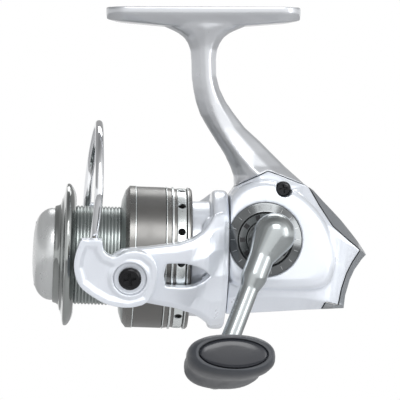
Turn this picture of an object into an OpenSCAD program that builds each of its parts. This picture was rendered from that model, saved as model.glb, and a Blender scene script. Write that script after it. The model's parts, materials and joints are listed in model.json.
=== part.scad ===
// Spinning fishing reel with a front drag.
// Origin: centre of the foot's top face. +Z is up to the rod, -X is the spool end, -Y is the handle side.

/* [Foot and stem] */
// Length of the foot along the rod
foot_len = 60; // [56:0.5:64]
// Width of the foot
foot_w = 13; // [12:0.5:15]
// Height of the foot's upright edge
foot_edge = 2.2; // [1.8:0.1:2.6]

/* [Shaft line] */
// Height of the handle axis below the foot
handle_drop = 71.3; // [71:0.1:73]
// Distance of the handle axis behind the middle of the foot
handle_back = 17.8; // [17.5:0.1:19]
// Height of the handle axis above the spool shaft
axis_offset = 6.8; // [6.7:0.1:6.9]
// Nose-up tilt of the spool shaft in degrees
shaft_tilt = 2; // [0:0.5:4]
// Diameter of the spool shaft
shaft_d = 3; // [2.8:0.1:3]

/* [Spool] */
// Radius of the spool's front lip
lip_r = 21.85; // [21:0.05:22]
// Radius of the line arbor at its ridges
arbor_r = 15.15; // [14:0.05:16]
// Radius of the skirt
skirt_r = 21.8; // [21.4:0.05:22]
// Ridges on the arbor
arbor_ridges = 12; // [6:1:14]
// Vent holes round the skirt
skirt_holes = 14; // [8:1:18]

/* [Rotor and bail] */
// Radius of the rotor's rear rim
rim_r = 21.4; // [21:0.1:22]
// Turn of the rotor that brings its near arm below the shaft, in degrees
rotor_turn = 12; // [0:0.1:20]
// Distance of the bail pivots ahead of the handle axis
pivot_x = 40.9; // [40.5:0.1:42]
// Inner half span of the two rotor arms
arm_in = 22.4; // [22.3:0.05:22.6]
// Outer half span of the two rotor arms
arm_out = 26; // [25.5:0.1:26.2]
// Diameter of the bail wire
wire_d = 2.6; // [2:0.1:2.8]
// Height of the bail loop above the shaft
bail_h = 40.2; // [39.5:0.1:42]

/* [Handle] */
// Distance between the handle axis and the knob's post
crank_r = 42.5; // [38:0.5:46]
// Angle of the handle arm from straight down, in degrees
crank_turn = 22.5; // [0:0.5:45]
// Outward slope of the handle arm in degrees
crank_slope = 18; // [10:1:20]
// Length of the knob
knob_len = 23; // [18:0.5:24]

/* [Gears] */
// Teeth of the pinion
pinion_teeth = 8; // [8:1:8]
// Teeth of the drive gear
drive_teeth = 41; // [41:1:41]

/* [Hidden] */
$fn = 64;
gap = 0.15;                       // half of the open seam between two housing parts
fit = 0.04;                       // radial clearance of a running fit
axis_x = handle_back - axis_offset * sin(shaft_tilt);
axis_z = -handle_drop - axis_offset * cos(shaft_tilt);
shaft_r = shaft_d / 2;
wall = 1.7;                       // housing wall

// ---------- placing and shaping ----------

// Shaft frame: X along the spool shaft to the rear, zero below the handle axis.
module on_shaft() translate([axis_x, 0, axis_z]) rotate([0, shaft_tilt, 0]) children();
// Rotor frame: the shaft frame turned with the rotor, its arms at -Y and +Y.
module on_rotor() on_shaft() rotate([rotor_turn, 0, 0]) children();
// Handle frame: Z along the handle axis, out of the near side.
module on_handle() translate([handle_back, 0, -handle_drop]) rotate([90, 0, 0]) children();
// Crank frame: the handle frame with X pointing along the arm.
module on_crank() on_handle() rotate([0, 0, -90 - crank_turn]) children();
// Turned shape about X, from an outline whose x is the radius and y the place along X.
module turned(fn = 96) rotate([0, 90, 0]) rotate_extrude($fn = fn) children();
// Ring about X between two places.
module ring_x(a, b, r_out, r_in, fn = 64) turned(fn) polygon([[r_in, a], [r_out, a], [r_out, b],
    [r_in, b]]);
// Ring about Z.
module ring_z(a, b, r_out, r_in, fn = 64)
    rotate_extrude($fn = fn) polygon([[r_in, a], [r_out, a], [r_out, b], [r_in, b]]);
// Cylinder about X.
module rod_x(a, b, r, fn = 64) translate([a, 0, 0]) rotate([0, 90, 0]) cylinder(h = b - a, r = r, $fn = fn);
// Cylinder about Y.
module rod_y(a, b, r, fn = 64) translate([0, b, 0]) rotate([90, 0, 0]) cylinder(h = b - a, r = r, $fn = fn);
// One mesh from everything below it.
module one_mesh() resize([0, 0, 0]) union() children();

// Skin over rings of equal length, which run anticlockwise seen from the far end.
module skin(rings, flip = false) {
    n = len(rings[0]);
    m = len(rings);
    sides = [for (i = [0:m - 2], j = [0:n - 1])
        let (k = (j + 1) % n, q = [i * n + j, (i + 1) * n + j, (i + 1) * n + k, i * n + k])
        each [[q[0], q[1], q[2]], [q[0], q[2], q[3]]]];
    caps = [[for (j = [0:n - 1]) j], [for (j = [n - 1:-1:0]) (m - 1) * n + j]];
    faces = concat(sides, caps);
    polyhedron([for (r = rings) each r],
        flip ? [for (f = faces) [for (i = [len(f) - 1:-1:0]) f[i]]] : faces);
}
// Corner cutting: a closed outline with rounded corners.
function cut_corners(p, times) = times == 0 ? p :
    cut_corners([for (i = [0:len(p) - 1]) let (q = p[(i + 1) % len(p)])
        each [p[i] * 0.75 + q * 0.25, p[i] * 0.25 + q * 0.75]], times - 1);
function side_sign(v) = v < 0 ? -1 : 1;
function power_round(c, e) = side_sign(c) * pow(abs(c), 2 / e);
// Superellipse outline.
function oval(a, b, e, n) = [for (i = [0:n - 1]) let (t = 360 * i / n)
    [a * power_round(cos(t), e), b * power_round(sin(t), e)]];
// Arc of points about a centre.
function arc(c, r, from, to, n) = [for (i = [0:n]) let (t = from + (to - from) * i / n)
    c + r * [cos(t), sin(t)]];

// ---------- housing ----------

// Stem outline: height, front edge, rear edge, ridge, half thickness at the ridge, at the edges.
stem_rings = [
    [-60, 9.6, 30, 20.5, 9.6, 4.6], [-55, 9.3, 31.9, 19.8, 9.6, 4.6],
    [-52, 9.2, 28.6, 17, 8.6, 3.6], [-49, 8.2, 25.2, 14, 7.2, 3], [-45, 6.3, 21.2, 10.6, 6, 2.6],
    [-41, 3.7, 17.2, 7.7, 5.2, 2.3], [-37, 1.2, 12.8, 5.4, 4.7, 2.1], [-33, -1.1, 9.7, 3.7, 4.4, 2],
    [-29, -2.5, 6.9, 2.4, 4.2, 1.9], [-25, -3.3, 5, 1.5, 4.1, 1.9], [-21, -3.8, 4, 0.9, 4, 1.9],
    [-16, -3.9, 3.9, 0.7, 4, 1.9], [-13, -4.2, 4.3, 0.7, 4.1, 2], [-11, -4.9, 5.1, 0.7, 4.3, 2.2],
    [-9.2, -6.1, 6.3, 0.6, 4.6, 2.5], [-7.8, -8, 8.2, 0.5, 4.9, 2.9], [-6.8, -10, 10.4, 0.3, 5.1, 3.3],
    [-5.6, -12.8, 13.4, 0, 5.2, 3.6], [-3, -13, 13.6, 0, 5.2, 3.6]
];
function stem_half(r) = let (f = r[1], b = r[2], m = r[3], t = r[4], e = r[5])
    [[f, 0], [f + 0.35, -0.55 * e], [f + 1.2, -e], [f * 0.45 + m * 0.55, -(e + t) / 2 - 0.06 * t],
     [m - 0.35, -t + 0.05], [m + 0.35, -t + 0.05], [m * 0.5 + b * 0.5, -(e + t) / 2 - 0.1 * t],
     [b - 1.2, -e], [b - 0.35, -0.55 * e], [b, 0]];
function stem_ring(r) = let (h = stem_half(r))
    [for (p = h) [p[0], p[1], r[0]], for (i = [len(h) - 2:-1:1]) [h[i][0], -h[i][1], r[0]]];
module stem() skin([for (r = stem_rings) stem_ring(r)]);

// Foot: an upright edge with round ends, and a bevelled underside.
module foot_edge_plate() translate([0, 0, -foot_edge]) linear_extrude(foot_edge) {
    square([foot_len - foot_w, foot_w], center = true);
    for (s = [-1, 1]) translate([s * (foot_len - foot_w) / 2, 0]) circle(d = foot_w, $fn = 64);
}
foot_depth = [[-30, 3.6], [-26, 4.5], [-13, 5.7], [0, 6], [13, 5.7], [26, 4.7], [30, 3.9]];
function foot_half_w(x) = let (s = abs(x) - (foot_len - foot_w) / 2)
    s <= 0 ? foot_w / 2 : sqrt(max(0.2, pow(foot_w / 2, 2) - s * s));
function foot_ring(x) = let (w = foot_half_w(x), d = lookup(x, foot_depth), n = max(0.15, w - 2.1))
    [[x, -w, -foot_edge + 0.6], [x, -w, -foot_edge], [x, -n, -d], [x, n, -d],
     [x, w, -foot_edge], [x, w, -foot_edge + 0.6]];
module foot_underside()
    skin([for (x = [-29.9, -29.3, -28.4, -27, -25, -23, -13, 0, 13, 23, 25, 27, 28.4, 29.3,
        29.9]) foot_ring(x)]);

// Gear housing: heights of top, shoulder crease, lower crease and bottom along X, and half widths there.
top_z = [[6, -60], [8, -57], [10, -54], [31, -54.3], [33.7, -56.2], [36.5, -59.3], [39.5, -62.4],
    [42.3, -65.4],
         [44.8, -68.5], [47.2, -71.6], [49.4, -74.9], [50, -75.9]];
shoulder_z = [[6, -63.5], [9, -60.6], [13, -57.9], [18, -56.7], [23, -57.8], [29, -61.3], [36, -66.2],
    [42, -70.4],
              [47.5, -74.3], [50, -76]];
low_z = [[6, -88.6], [22, -88.2], [30, -88.8], [37.5, -90.4], [40, -91], [42.9, -91.5], [43.3, -88.6],
         [44.8, -84], [46.3, -80.9], [48.5, -77.9], [50, -76.3]];
bottom_z = [[6, -94.3], [14.3, -93.9], [29.7, -93.1], [42.9, -92.7], [43.3, -89], [44.8, -84.1],
    [46.3, -81],
            [48.5, -78], [50, -76.4]];
top_w = [[6, 7], [10, 5], [31, 3.6], [42, 2.6], [50, 1.6]];
shoulder_w = [[6, 14.6], [24, 14.2], [34, 12.6], [42, 10], [47.4, 7.4], [48.4, 5], [50, 2]];
low_w = [[6, 13.6], [24, 13.2], [33, 11.6], [37.6, 9.8], [41.5, 6.4], [44, 4.6], [48, 3.2], [50, 2]];
bottom_w = [[6, 9], [24, 8.4], [36, 6.5], [42.9, 4.2], [46, 3], [50, 1.6]];
housing_x = [6, 8, 10, 12, 14, 16, 18, 20, 23, 26, 29, 31, 33.7, 36.5, 38, 39.5, 41, 42.3, 42.9, 43.3,
    44, 44.8,
             46.3, 47.4, 48.5, 49.4, 50];
// Half section at x, from the top centre round to the bottom centre, shrunk by an inset.
function housing_half(x, i) = let (
        zt = lookup(x, top_z) - i, zs = lookup(x, shoulder_z), zl = lookup(x, low_z),
            zb = lookup(x, bottom_z) + i,
        ws = lookup(x, shoulder_w) - i, wl = lookup(x, low_w) - i, wt = lookup(x, top_w) - 0.4 * i,
        wb = lookup(x, bottom_w) - 0.6 * i, s = min(zs, zt - 0.4), l = max(zl, zb + 0.3))
    [[0, zt], [wt, zt - 0.15], [wt + 0.12 * (ws - wt), zt * 0.94 + s * 0.06],
        [ws * 0.97 + wt * 0.03, s * 0.96 + zt * 0.04],
     [ws, s * 0.96 + l * 0.04], [(ws + wl) / 2 + 0.35, (s + l) / 2], [wl, l * 0.97 + s * 0.03],
     [wl * 0.96 + wb * 0.04, l * 0.93 + zb * 0.07], [wb, zb + 0.15], [0, zb]];
function housing_ring(x, i) = let (h = housing_half(x, i))
    [for (p = h) [x, p[0], p[1]], for (k = [len(h) - 2:-1:1]) [x, -h[k][0], h[k][1]]];
module housing(i = 0) skin([for (x = housing_x) if (x <= 50 - 3 * i) housing_ring(x, i)], flip = true);

// Raised D shaped bulge round the handle, on both sides.
bulge_corners = [[-13, 6], [-9.5, 14.6], [0, 18.4], [10, 14.6], [17.2, 7.4], [20.6, 0], [21.4, -8],
    [19, -14.8],
                 [8, -15.4], [-6, -14.8], [-13, -12]];
bulge_outline = cut_corners(bulge_corners, 2);
bulge_levels = [[8, 1.04], [13, 1.02], [14.6, 0.985], [15.6, 0.94], [16.1, 0.88], [16.3, 0.8]];
module bulge() on_handle() skin([for (l = bulge_levels) [for (p = bulge_outline) [p[0] * l[1],
    p[1] * l[1], l[0]]]],
    flip = true);
module behind_rotor(x) on_shaft() translate([x, -60, -60]) cube([80, 120, 120]);
module outer_shape() {
    stem();
    intersection() {
        union() {
            housing();
            bulge();
            mirror([0, 1, 0]) bulge();
        }
        behind_rotor(-10.6);
    }
}
// Gear room inside the housing.
module gear_room() difference() {
    union() {
        intersection() {
            housing(wall);
            behind_rotor(-8.6);
            translate([0, -60, -120]) cube([38, 120, 120 - 57.2]);
        }
        on_shaft() translate([-2, -1.9, -13.6]) cube([16, 4.1, 3]);        // groove under the slider
    }
    on_handle() {
        translate([0, 0, 10.9]) cylinder(h = 9, r = 7.2, $fn = 32);          // near bearing boss
        translate([0, 0, -20]) cylinder(h = 10.6, r = 7.2, $fn = 32);      // far bearing boss
    }
    on_shaft() translate([osc_back, -20, -osc_drop]) {
        rod_y(0, 13.4, 3, 24);                                             // oscillation gear post
        rod_y(0, 15.9, 1.5, 48);
    }
    on_shaft() translate([16.2, 0.3, rail_z]) rod_y(-1.9, 20, 2.2, 24);    // rear rail boss
    screw_at() translate([0, 0, -24]) cylinder(h = 60, r = 3.2, $fn = 24);
}
rail_z = -11.6;
// Places of the cover screws: one from the near side, two from the far side.
screw_spots = [[23.8, -55.9, 1], [37.5, -86.5, -1], [38.5, -72, -1]];
module screw_at() for (s = screw_spots) translate([s[0], 0, s[1]]) rotate([s[2] * 90, 0, 0]) children();
screw_face = [11.2, 9.4, 11];
module screw_holes() for (i = [0:2]) let (s = screw_spots[i])
    translate([s[0], 0, s[1]]) rotate([s[2] * 90, 0, 0]) {
        translate([0, 0, -5]) cylinder(h = 40, r = 1.15, $fn = 16);
        translate([0, 0, screw_face[i] - 2.6]) cylinder(h = 40, r = 2.6, $fn = 32);
    }
module bearing_holes() on_handle() {
    translate([0, 0, -30]) cylinder(h = 60, r = 3.6, $fn = 40);
    translate([0, 0, 12.5]) cylinder(h = 3.2, r = 5.06, $fn = 48);
    translate([0, 0, -13]) cylinder(h = 3.7, r = 5.06, $fn = 48);
    translate([0, 0, 15.4]) cylinder(h = 6, r = 11.3, $fn = 72);           // dial seat
}

// Region of the near cover: below the peaked seam, ahead of the tail guard.
module cover_region(g) translate([0, -2, 0]) rotate([90, 0, 0]) linear_extrude(40) offset(delta = -g)
    polygon([[-10, -120], [-10, -55.6], [9.2, -55.1], [19.5, -50.4], [32.1, -55.1], [35, -60.6],
        [39.1, -67.3],
             [44.2, -71.7], [47.8, -74.6], [45.4, -78.4], [43.4, -82.2], [42, -86.5], [41, -91.6],
                 [36.8, -90.5],
             [35.4, -94], [35, -120]]);
// Region of the tail guard: the strip behind the cover's rear edge, on both sides.
module trim_region(g) translate([0, 40, 0]) rotate([90, 0, 0]) linear_extrude(80) offset(delta = -g)
    polygon([[31.4, -53.6], [32.1, -55.1], [35, -60.6], [39.1, -67.3], [44.2, -71.7], [47.8, -74.6],
        [45.4, -78.4],
             [43.4, -82.2], [42, -86.5], [41, -91.6], [36.8, -90.5], [35.4, -94], [35.4, -100],
                 [60, -100], [60, -53.6]]);

front_boss_r = 13.4;              // round boss that holds the front of the drive gear
module body_frame() color("gainsboro") {
    one_mesh() {
        foot_edge_plate();
        foot_underside();
        difference() {
            union() {
                difference() {
                    outer_shape();
                    cover_region(0);
                    trim_region(0);
                    gear_room();
                    bearing_holes();
                    screw_holes();
                }
                on_shaft() rod_x(-20, -8.4, 8, 48);
                on_shaft() rod_x(-12.5, -8.4, front_boss_r, 64);
                on_shaft() rod_x(-4.2, -2.2, 3.6, 32);
                on_shaft() translate([-4.1, -1.8, -15]) cube([1.8, 4.2, 12.5]);
            }
            on_shaft() rod_x(-21, -8, 6.02, 48);
            on_shaft() rod_x(-5, -1, 2.95, 48);
            on_handle() translate([0, 0, -6.2]) cylinder(h = 3.8, r = gear_out + 0.4, $fn = 64);
            on_handle() translate([0, 0, -9]) {
                cylinder(h = 7.3, r = 5, $fn = 48);
                cylinder(h = 20, r = 3.4, $fn = 48);
            }
            on_shaft() translate([0, 0.3, rail_z]) rod_x(-9.8, 16.2, 1.05, 16);
        }
    }
}
module side_cover() color("ghostwhite") one_mesh() difference() {
    intersection() {
        outer_shape();
        cover_region(gap);
    }
    gear_room();
    bearing_holes();
    screw_holes();
    on_shaft() rod_x(-21, -8, front_boss_r + gap, 64);
}
module rear_trim() color("dimgray") one_mesh() difference() {
    intersection() {
        outer_shape();
        trim_region(gap);
    }
    housing(wall + 0.6);
}
module phillips_screw(head_r, head_h, shank_r, shank_l) difference() {
    union() {
        cylinder(h = head_h * 0.65, r = head_r);
        translate([0, 0, head_h * 0.65]) cylinder(h = head_h * 0.35, r1 = head_r, r2 = head_r * 0.8);
        translate([0, 0, -shank_l]) cylinder(h = shank_l + 0.1, r = shank_r);
    }
    for (a = [0, 90]) rotate([0, 0, a + 10]) translate([-head_r * 0.55, -head_r * 0.12, head_h * 0.4])
        cube([head_r * 1.1, head_r * 0.24, head_h]);
}
module cover_screws() color([0.16, 0.16, 0.17]) for (i = [0:2]) let (s = screw_spots[i])
    translate([s[0], 0, s[1]]) rotate([s[2] * 90, 0, 0]) translate([0, 0, screw_face[i] - 2.6])
        phillips_screw(2.35, 2.2, 1.1, 10);
// Dial ring: outer rim, sunk face with tick marks, inner ring with slots.
module handle_bezel() color("slategray") difference() {
    intersection() {
        dial();
        behind_rotor(-10.7);
    }
    on_handle() {
        for (i = [0:11]) rotate([0, 0, i * 30]) translate([5.2, -0.65, 16.2]) cube([1.9, 1.3, 2]);
        for (i = [0:23]) rotate([0, 0, i * 15 + 7.5]) translate([8.9, -0.09, 16.75])
            cube([i % 2 == 0 ? 1.7 : 1.1, 0.18, 1]);
    }
}
module dial() on_handle()
    rotate_extrude($fn = 96) polygon([[4.2, 15.5], [11.2, 15.5], [11.2, 16.8], [10.9, 17.1],
        [8.6, 16.8], [8.3, 16.3],
                                      [8, 16.3], [7.8, 16.9], [5, 17.1], [4.2, 16.8]]);
// Shielded ball bearing: two rings with a sunk shield between them on each face.
module ball_bearing(r_out, r_in, w) {
    a = r_in + (r_out - r_in) * 0.3;
    b = r_in + (r_out - r_in) * 0.7;
    rotate_extrude($fn = 64) polygon([[r_in, 0], [a, 0], [a, 0.25], [b, 0.25], [b, 0], [r_out, 0],
                                      [r_out, w], [b, w], [b, w - 0.25], [a, w - 0.25], [a, w], [r_in, w]]);
}
module drive_bearing_near() color("silver") on_handle() translate([0, 0, 12.55])
    ball_bearing(5.02, 3.04, 2.9);
module drive_bearing_far() color("silver") on_handle() translate([0, 0, -12.95])
    ball_bearing(5.02, 3.04, 2.9);
module pinion_bearing() color("silver") on_shaft() translate([-14, 0, 0]) rotate([0, 90, 0])
    ball_bearing(5.98, 2.99, 3);
module pinion_bush() color("goldenrod") on_shaft() ring_x(-4.2, -2.2, 2.9, 2.24);
module one_way_clutch() color("gray") on_shaft() {
    ring_x(-19.8, -14.4, 5.98, 4.9);
    ring_x(-19.8, -19.3, 4.9, 3.15);
    for (i = [0:7]) rotate([i * 45, 0, 0]) translate([0, 0, 4]) rod_x(-19.5, -14.6, 0.7, 24);
}
module bearing_retainer() color("lightgray") on_shaft() {
    ring_x(-21, -20.05, 8, 3.3);
    for (i = [0:2]) rotate([i * 120 + 30, 0, 0]) translate([0, 0, 6.7]) rod_x(-21.8, -21, 1.1, 24);
}
module guide_rail() color("silver") on_shaft() translate([0, 0.3, rail_z]) rod_x(-9.6, 16, 1);

// ---------- handle ----------

pinion_pitch_r = 3;
pinion_tip_r = 3.6;
pinion_root_r = 2.35;
gear_in = 9.2;
gear_out = 10.9;
gear_tip_y = 2.85;                // plane of the gear's tooth tips behind the pinion axis
gear_root_y = 4;
gear_ratio = drive_teeth / pinion_teeth;
// Distance of each tooth's line from the gear's centre, for a 45 degree pinion tooth.
rib_offset = (pinion_pitch_r * gear_ratio - 2 * axis_offset) / sqrt(2);
rib_w = 0.48;
gear_phase = -1.17;               // turn of the teeth that puts them in mesh
osc_module = 0.6;
osc_small = 14;
osc_large = 27;
osc_y = 5.2;                      // middle plane of the oscillation gears on the near side
osc_throw = 4.5;                  // radius of the eccentric pin, half of the spool's stroke
osc_back = 6;                     // place of the large oscillation gear behind the handle axis
osc_mesh = (osc_small + osc_large) * osc_module / 2;
osc_drop = sqrt(pow(osc_mesh, 2) - pow(osc_back, 2)) - axis_offset;
slider_x = osc_back + osc_throw;

// Spur gear outline with plain tapered teeth.
function spur(teeth, m, slack) = let (rp = teeth * m / 2, ro = rp + 0.8 * m, ri = rp - 1.15 * m,
    a = 360 / teeth)
    [for (i = [0:teeth - 1]) each [for (q = [[ri, -0.32], [ro, -0.13 + slack], [ro, 0.13 - slack],
        [ri, 0.32]])
        q[0] * [cos((i + q[1]) * a), sin((i + q[1]) * a)]]];
hex_af = 4.4;
module hexagon(af) circle(r = af / 2 / cos(30), $fn = 6);
module drive_gear() color("darkgoldenrod") on_handle() difference() {
    union() {
        translate([0, 0, -12.9]) cylinder(h = 28.4, r = 3);
        translate([0, 0, -5.8]) cylinder(h = 5.8 - gear_root_y, r = gear_out);
        translate([0, 0, -7]) cylinder(h = 5, r = 4.6);
        translate([0, 0, osc_y - 1]) linear_extrude(2) polygon(spur(osc_small, osc_module, 0.03));
        intersection() {
            for (i = [0:drive_teeth - 1]) rotate([0, 0, i * 360 / drive_teeth + gear_phase])
                translate([rib_offset - rib_w / 2, 8.8, -gear_root_y - 0.1])
                    cube([rib_w, 4, gear_root_y - gear_tip_y + 0.1]);
            ring_z(-gear_root_y - 0.2, -gear_tip_y, gear_out, gear_in);
        }
    }
    translate([0, 0, -20]) linear_extrude(40) hexagon(hex_af);
}
module handle_shaft() color("silver") on_handle() {
    translate([0, 0, -14.6]) linear_extrude(36) hexagon(hex_af - 0.1);
    translate([0, 0, 15.8]) ring_z(0, 1.1, 3.9, 1);
}
crank_y = 27;                     // height of the handle's head above the centre plane
head_back = 3.8;                  // how far behind the handle axis the arm's slope starts
head_at = 2.4;                    // how far behind the handle axis the round head lies
head_side = 1.2;
head_r = 6.4;
neck_start = 5.2;                 // where the head has narrowed to the neck
neck_s = 11.8;                    // where the neck steps down to the rod
neck_r = 3.9;
rod_r = 2.8;
module crank() color("darkgray") difference() {
    on_crank() {
        hull() {
            translate([0, 0, 18.2]) cylinder(h = 0.5, r = 5.2, $fn = 40);
            crank_root();
        }
        hull() {
            translate([-head_at, head_side, crank_y + 5.8 - head_r]) sphere(r = head_r, $fn = 32);
            crank_root();
            crank_point(neck_start) sphere(r = neck_r, $fn = 32);
        }
        hull() for (s = [neck_start, neck_s]) crank_point(s) sphere(r = neck_r, $fn = 32);
        hull() {
            crank_point(neck_s) sphere(r = neck_r, $fn = 32);
            crank_point(neck_s + 3.4) sphere(r = rod_r, $fn = 32);
        }
        crank_point(neck_s + 3) on_slope() rotate([0, 90, 0])
            cylinder(h = (crank_r - neck_s - 3) / cos(crank_slope), r = rod_r, $fn = 48);
        crank_point(crank_r) on_slope() translate([0, 0, -3.1]) cylinder(h = 6.2, r = 3.9, $fn = 48);
    }
    on_handle() translate([0, 0, 10]) linear_extrude(12) hexagon(hex_af);
    on_crank() crank_point(crank_r) on_slope() translate([0, 0, -9]) cylinder(h = 18, r = 1.55, $fn = 48);
}
// Foot of the round head, where it leaves the collar on the handle shaft.
module crank_root() translate([-head_at, head_side * 0.6, crank_y - 2.6]) sphere(r = 5.7, $fn = 32);
module on_slope() rotate([0, -crank_slope, 0]) children();
// A point on the arm's sloped centre line, at a distance from the handle axis.
module crank_point(s) translate([s, 0, crank_y + (s + head_back) * tan(crank_slope) * 0.999]) children();
module on_knob() on_crank() crank_point(crank_r) on_slope() translate([0, 0, 3.3]) children();
module knob_post() color("silver") on_knob() {
    translate([0, 0, -6.6]) cylinder(h = 21.4, r = 1.5);
    translate([0, 0, -7.6]) cylinder(h = 1.2, r = 2.7);
    translate([0, 0, 14.2]) cylinder(h = 0.8, r = 2.6);
}
module shaft_cap() color("gainsboro") on_handle() rotate([180, 0, 0]) difference() {
    rotate_extrude($fn = 64) polygon([[0, 14.8], [3.2, 14.8], [3.2, 16.7], [5.8, 16.7], [6.2, 17.2],
        [6, 19], [4.9, 19.8], [0, 20]]);
    translate([-4, -0.6, 19]) cube([8, 1.2, 2]);
}
// Knob rings on a 20 mm long knob: place along the post, half length, half width.
knob_lean = 0.4;                  // how far the knob's outer end leans to the rear
knob_rings = [[0.2, 4.6, 4.6], [1, 6.2, 5.1], [1.9, 9.2, 5.6], [3.2, 10.9, 6], [5.5, 11.4, 6.1],
    [8, 10.9, 5.8],
              [10, 10.8, 5.6], [12.2, 11.6, 5.8], [14.6, 12.7, 6.2], [17, 12.8, 6.3], [18.6, 12.4, 6],
                  [19.6, 11.6, 5.3], [20, 10.9, 4.9]];
knob_yaw = crank_turn - 1;        // turn of the knob on its post
function knob_shift(z) = knob_lean * z / knob_len;
module knob_grip() color([0.22, 0.23, 0.25]) on_knob() rotate([0, 0, 90 + knob_yaw]) difference() {
    skin([for (r = knob_rings) let (z = r[0] * knob_len / 20)
        [for (p = oval(r[1], r[2], 2.35, 40)) [p[0] + knob_shift(z), p[1], z]]]);
    translate([knob_lean, 0, knob_len - 1]) linear_extrude(2) scale([10.2, 4.5]) circle(r = 1, $fn = 48);
    cylinder(h = 14, r = shaft_r + fit, $fn = 48);
    translate([0, 0, 13.9]) cylinder(h = 1.4, r = 2.8);
}
module knob_cap() color([0.1, 0.1, 0.12]) on_knob() rotate([0, 0, 90 + knob_yaw])
    skin([for (l = [[-0.95, 1], [0, 1], [0.35, 0.93], [0.6, 0.78], [0.72, 0.5]])
        [for (p = oval(9.9 * l[1], 4.25 * l[1], 2, 40)) [p[0] + knob_lean, p[1], knob_len + l[0]]]]);

// ---------- oscillation ----------

module oscillation_gear() color("ivory") on_shaft() translate([osc_back, -osc_y, -osc_drop])
    rotate([90, 0, 0]) difference() {
    union() {
        translate([0, 0, -1]) linear_extrude(2) rotate([0, 0, osc_phase])
            polygon(spur(osc_large, osc_module, 0.03));
        translate([osc_throw, 0, -2]) cylinder(h = 1.1, r = 1.2);
    }
    translate([0, 0, -1.2]) cylinder(h = 2.4, r = 1.5 + fit);
}
osc_phase = 119.97;               // turn of the large gear that puts it in mesh
module main_shaft() color("silver") on_shaft() {
    rod_x(-65.5, 14, shaft_r);
    rod_x(-61.2, -60.6, 2.4);
}
module oscillation_slider() color("whitesmoke") on_shaft() translate([slider_x, 0, 0]) difference() {
    union() {
        translate([-3.1, -2.9, -11.4]) cube([6.2, 1.4, 14.8]);
        translate([-3.1, -2.9, -2.9]) cube([6.2, 4.5, 5.6]);
        translate([-3.1, -1.6, -13.1]) cube([6.2, 3.5, 3.2]);
    }
    translate([-1.55, -3.2, -9.8]) cube([3.1, 1.6, 6.6]);
    rod_x(-5, 5, shaft_r, 64);
    translate([0, 0.3, rail_z]) rod_x(-5, 5, 1 + fit, 64);
    translate([0, 0, 1]) cylinder(h = 3, r = 0.9);
}
module slider_screw() color("dimgray") on_shaft() translate([slider_x, 0, 0]) {
    translate([0, 0, 1.52]) cylinder(h = 1.2, r = 0.88);
    translate([0, 0, 2.72]) cylinder(h = 0.68, r = 1.4);
}

// ---------- spool ----------

arbor_front = -57.2;
arbor_rear = -43.6;
skirt_end = -22.2;
skirt_in = 20.5;
ridge_h = 0.42;
ridge_pitch = (arbor_rear - arbor_front) / (arbor_ridges + 1);
arbor_ridge_points = [for (i = [arbor_ridges:-1:0]) each [
    [arbor_r - ridge_h, arbor_front + (i + 0.98) * ridge_pitch],
        [arbor_r, arbor_front + (i + 0.72) * ridge_pitch],
    [arbor_r, arbor_front + (i + 0.3) * ridge_pitch], [arbor_r - ridge_h,
        arbor_front + (i + 0.04) * ridge_pitch]]];
module spool() color("darkgray") on_shaft() difference() {
    turned(96) polygon(concat(
        [[shaft_r + fit, -54.6], [3.4, -54.6], [3.4, -44.2], [9.6, -44.2], [14, -43.2], [18.5, -42.6],
            [skirt_in, -41], [skirt_in, -24],
         [20.2, -23.6], [20.2, skirt_end], [21.2, skirt_end], [skirt_r - 0.1, -22.7],
             [skirt_r - 0.1, -23.5],
         [21.3, -23.8], [21, -24], [21, -26.8], [21.3, -26.9], [21.4, -28.2], [21.2, -28.3], [21.45, -28.5],
         [skirt_r - 0.15, -29.9], [21.4, -30], [21.1, -30.2], [21.1, -39.1], [21.5, -39.2],
             [skirt_r, -39.5],
         [skirt_r, -41.1], [21.5, -41.3], [20.3, -42.3], [17.4, -43.3], [15.3, arbor_rear]],
        arbor_ridge_points,
        [[arbor_r, -57.3], [17.2, -57.5], [17.2, -58.6], [15, -58.7], [15, -60.9], [11.6, -60.9],
            [11.6, -55.6],
         [shaft_r + fit, -55.6]]));
    for (i = [0:skirt_holes - 1]) rotate([(i + 0.5) * 360 / skirt_holes + 3, 0, 0])
        translate([-25.4, 0, 19])
        cylinder(h = 4, r = 1.2, $fn = 32);
}
module spool_lip() color("slategray") on_shaft() turned(96)
    polygon([[15.05, -60.9], [16.3, -61.3], [17.2, -60.9], [19.6, -60.2], [20.9, -60.6], [21.6, -60.4],
        [lip_r, -59.9],
             [lip_r - 0.1, -59.2], [21.3, -58.9], [21.2, -58], [20.6, -57.5], [17.25, -57.5],
                 [17.25, -58.65], [15.05, -58.75]]);
module skirt_band() color("rosybrown") on_shaft() ring_x(-39.05, -30.25, skirt_r - 0.15, 21.15, 96);
module skirt_ring() color("silver") on_shaft() difference() {
    turned(96) polygon([[21.03, -26.75], [21.4, -26.75], [21.5, -26.2], [21.5, -24.6], [21.4, -24.05],
        [21.03, -24.05]]);
    for (i = [0:skirt_holes - 1]) rotate([(i + 0.5) * 360 / skirt_holes + 3, 0, 0])
        translate([-25.4, 0, 20])
        cylinder(h = 3, r = 1.18, $fn = 32);
}
module drag_washers() color("peru") on_shaft() for (i = [0:4])
    ring_x(-56.5 - i * 0.85, -55.75 - i * 0.85, i % 2 == 0 ? 11.2 : 10.8, i % 2 == 0 ? 3.2 : 2.2);
module drag_retainer() color("silver") on_shaft() rotate([0, 90, 0]) translate([0, 0, -60.35])
    rotate_extrude($fn = 64) translate([11.1, 0]) circle(r = 0.4, $fn = 16);
module click_gear() color("ivory") on_shaft() translate([-44.15, 0, 0]) rotate([0, 90, 0]) difference() {
    union() {
        linear_extrude(1.6) polygon(spur(28, 0.62, 0));
        cylinder(h = 2.6, r = 5);
    }
    translate([0, 0, -1]) cylinder(h = 6, r = 3.45);
}
drag_r = 14.15;
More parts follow.
